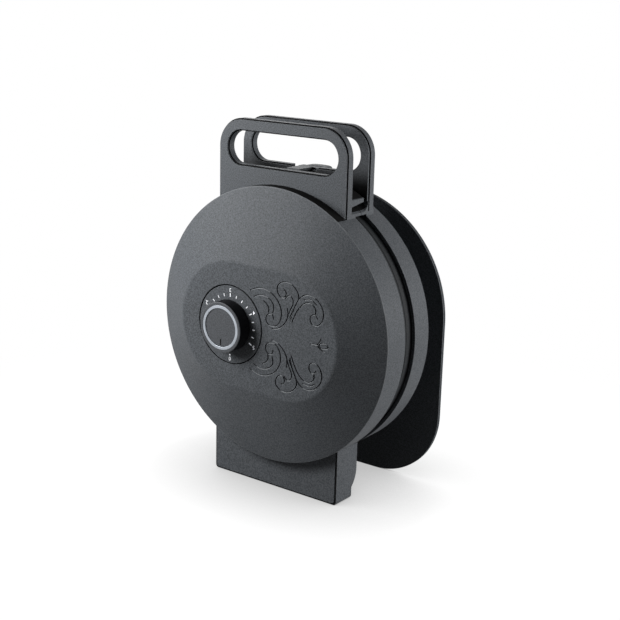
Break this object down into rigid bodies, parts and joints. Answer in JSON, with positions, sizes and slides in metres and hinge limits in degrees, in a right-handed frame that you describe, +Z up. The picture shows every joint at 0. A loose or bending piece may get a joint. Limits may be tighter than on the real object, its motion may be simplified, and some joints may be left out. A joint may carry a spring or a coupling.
{
  "type": "electric krumkake iron",
  "caption": "Round electric wafer iron with a hinged lid, patterned baking plates, a dial and a split loop handle; it stands upright for storage.",
  "frame": {"origin": "on the floor, under the middle of the iron's width and depth, as it stands for storage", "axes": "+Z up, from the hinge block to the handle; +Y from the dial at the front to the foot plate at the back; +X to the right of someone who faces the dial"},
  "size_m": [0.214, 0.1252, 0.2858],
  "materials": {
    "charcoal_plastic": "fine-grained charcoal moulding",
    "dial_plastic": "smooth near-black moulding",
    "cap_grey": "smooth dark grey",
    "ring_metal": "satin silver",
    "pointer_black": "black line",
    "steel": "zinc-plated steel",
    "cast_plate": "dark non-stick coated cast aluminium",
    "heater_sheath": "oxidised heater sheath",
    "reflector_sheet": "bright sheet",
    "rubber_black": "black rubber",
    "phenolic": "brown phenolic",
    "fuse_body": "fuse case"
  },
  "bodies": {
    "base": {"base_shell": "charcoal_plastic", "base_handle": "charcoal_plastic", "base_handle_screws": "steel", "hinge_pins": "steel", "hinge_clips": "steel", "latch_pin": "steel", "lower_plate": "cast_plate", "lower_element": "heater_sheath", "lower_reflector": "reflector_sheet", "lower_plate_screws": "steel", "cord_spool": "charcoal_plastic", "foot_plate": "charcoal_plastic", "foot_screws": "steel", "rubber_feet": "rubber_black", "cord_gland": "rubber_black", "terminal_block": "phenolic", "thermal_fuse": "fuse_body", "fuse_strap": "steel"},
    "lid": {"lid_shell": "charcoal_plastic", "hinge_block": "charcoal_plastic", "block_screws": "steel", "lid_handle": "charcoal_plastic", "lid_handle_screws": "steel", "latch_catch": "steel", "upper_plate": "cast_plate", "upper_element": "heater_sheath", "upper_reflector": "reflector_sheet", "upper_plate_screws": "steel", "dial_plate": "dial_plastic", "thermostat": "phenolic", "thermostat_bracket": "steel", "bracket_rivets": "steel"},
    "dial": {"knob": "dial_plastic", "knob_ring": "ring_metal", "knob_cap": "cap_grey", "knob_pointer": "pointer_black", "knob_shaft": "steel"},
    "latch": {"latch_lever": "charcoal_plastic"}
  },
  "joints": [
    {"name": "lid_hinge", "type": "hinge", "parent": "base", "child": "lid", "pos_m": [0, -0.0066, 0.022], "axis": [1, 0, 0], "range_deg": [0, 100]},
    {"name": "dial_turn", "type": "hinge", "parent": "lid", "child": "dial", "pos_m": [-0.0266, -0.05, 0.1325], "axis": [0, 1, 0], "range_deg": [0, 300]},
    {"name": "latch_hook", "type": "hinge", "parent": "base", "child": "latch", "pos_m": [0, 0.006, 0.24605], "axis": [1, 0, 0], "range_deg": [0, 10]}
  ]
}
